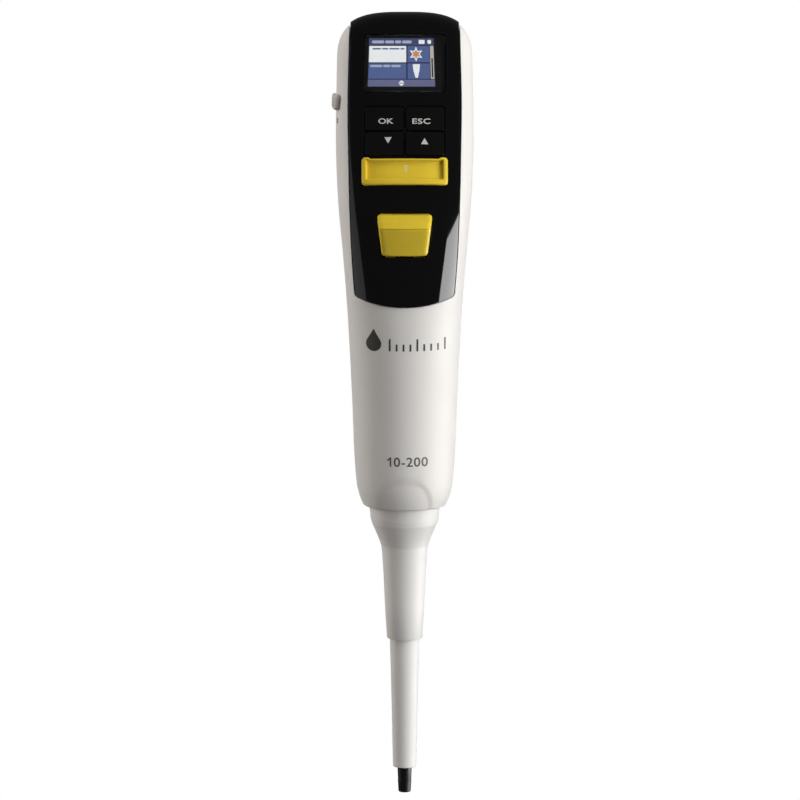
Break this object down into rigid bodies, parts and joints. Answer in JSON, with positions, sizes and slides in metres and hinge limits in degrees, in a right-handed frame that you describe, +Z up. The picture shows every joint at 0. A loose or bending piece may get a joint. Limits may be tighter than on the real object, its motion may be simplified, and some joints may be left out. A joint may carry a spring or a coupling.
{
  "type": "electronic micropipette",
  "caption": "Hand-held electronic micropipette: white housing, gloss black panel with colour screen and keys, yellow ejector bar and trigger, slim ejector sleeve and black tip cone.",
  "frame": {"origin": "centre of the tip cone's end face, on the shaft's axis", "axes": "+Z up along the shaft towards the head, -Y to the front with the screen and keys, +X to the right as seen from the front"},
  "size_m": [0.0483, 0.0742, 0.2714],
  "materials": {
    "housing_white": "white moulded ABS with a fine satin texture",
    "panel_black": "high-gloss black moulded panel and key caps",
    "window_clear": "clear display window",
    "screen": "colour liquid crystal display",
    "button_yellow": "satin yellow moulded buttons",
    "inner_black": "black moulded plastic",
    "inner_grey": "grey moulded plastic",
    "seal_white": "white low-friction seal",
    "rubber": "soft rubber",
    "steel": "stainless steel",
    "brass": "turned brass",
    "copper": "copper winding",
    "board_green": "green circuit board",
    "ribbon_amber": "amber film cable",
    "battery_wrap": "wrapped battery cell"
  },
  "bodies": {
    "root": {"front_shell": "housing_white", "rear_shell": "housing_white", "finger_hook": "housing_white", "front_panel": "panel_black", "display_window": "window_clear", "display_module": "screen", "main_board": "board_green", "switch_ok": "steel", "switch_escape": "steel", "switch_down": "steel", "switch_up": "steel", "trigger_pin": "steel", "trigger_bracket": "inner_black", "trigger_spring": "steel", "trigger_switch": "steel", "nose_bushing": "inner_black", "ejector_spring": "steel", "tip_cone": "inner_black", "barrel": "inner_grey", "piston_seal": "seal_white", "seal_o_ring": "rubber", "seal_retainer": "inner_black", "module_socket": "inner_grey", "guide_rod_left": "steel", "guide_rod_right": "steel", "piston_spring": "steel", "motor_flange": "steel", "motor_can": "steel", "motor_cap": "inner_black", "stator_coil": "copper", "bearing_lower": "steel", "bearing_upper": "steel", "battery_cell": "battery_wrap", "battery_connector": "inner_black", "buzzer": "inner_black", "usb_socket": "steel", "home_sensor": "inner_black", "motor_ribbon": "ribbon_amber", "shell_screw_1": "steel", "shell_screw_2": "steel", "shell_screw_3": "steel", "shell_screw_4": "steel"},
    "key_ok": {"key_ok": "panel_black"},
    "key_escape": {"key_escape": "panel_black"},
    "key_down": {"key_down": "panel_black"},
    "key_up": {"key_up": "panel_black"},
    "eject_button": {"eject_bar": "button_yellow", "ejector_slider": "inner_black"},
    "ejector": {"ejector_rod": "steel", "ejector_collar": "housing_white", "ejector_sleeve": "housing_white"},
    "trigger": {"trigger": "button_yellow"},
    "drive_screw": {"lead_screw": "steel", "rotor_magnet": "inner_black"},
    "piston": {"piston": "steel", "drive_carriage": "inner_grey", "drive_nut": "brass"},
    "battery_cover": {"battery_cover": "housing_white"},
    "port_cover": {"port_cover": "rubber"}
  },
  "joints": [
    {"name": "key_ok_press", "type": "slide", "parent": "root", "child": "key_ok", "axis": [0, 0.9703, -0.2419], "range_m": [0, 0.0005], "stiffness_N_per_m": 600, "springref_m": -0.0005},
    {"name": "key_escape_press", "type": "slide", "parent": "root", "child": "key_escape", "axis": [0, 0.9703, -0.2419], "range_m": [0, 0.0005], "stiffness_N_per_m": 600, "springref_m": -0.0005},
    {"name": "key_down_press", "type": "slide", "parent": "root", "child": "key_down", "axis": [0, 0.9703, -0.2419], "range_m": [0, 0.0005], "stiffness_N_per_m": 600, "springref_m": -0.0005},
    {"name": "key_up_press", "type": "slide", "parent": "root", "child": "key_up", "axis": [0, 0.9703, -0.2419], "range_m": [0, 0.0005], "stiffness_N_per_m": 600, "springref_m": -0.0005},
    {"name": "eject_press", "type": "slide", "parent": "root", "child": "eject_button", "axis": [0, -0.2419, -0.9703], "range_m": [0, 0.006]},
    {"name": "ejector_slide", "type": "slide", "parent": "root", "child": "ejector", "axis": [0, 0, -1], "range_m": [0, 0.00583], "stiffness_N_per_m": 300, "springref_m": -0.006, "deforming": ["ejector_spring"]},
    {"name": "trigger_pivot", "type": "hinge", "parent": "root", "child": "trigger", "pos_m": [0, -0.0169, 0.1895], "axis": [-1, 0, 0], "range_deg": [0, 6], "stiffness_Nm_per_rad": 0.05, "springref_deg": -5.73},
    {"name": "screw_turn", "type": "hinge", "parent": "root", "child": "drive_screw", "pos_m": [0, 0, 0.157], "axis": [0, 0, 1], "range_deg": [0, 2610]},
    {"name": "piston_stroke", "type": "slide", "parent": "root", "child": "piston", "axis": [0, 0, 1], "range_m": [0, 0.0146], "deforming": ["piston_spring"]},
    {"name": "battery_cover_pull", "type": "slide", "parent": "root", "child": "battery_cover", "axis": [0, 1, 0], "range_m": [0, 0.02]},
    {"name": "port_cover_swing", "type": "hinge", "parent": "root", "child": "port_cover", "pos_m": [-0.02415, 0, 0.2435], "axis": [0, 1, 0], "range_deg": [0, 100]}
  ],
  "couplings": [
    {"joint": "ejector_slide", "follows": "eject_press", "ratio": 0.9703},
    {"joint": "piston_stroke", "follows": "screw_turn", "m_per_rad": 0.00031831}
  ]
}
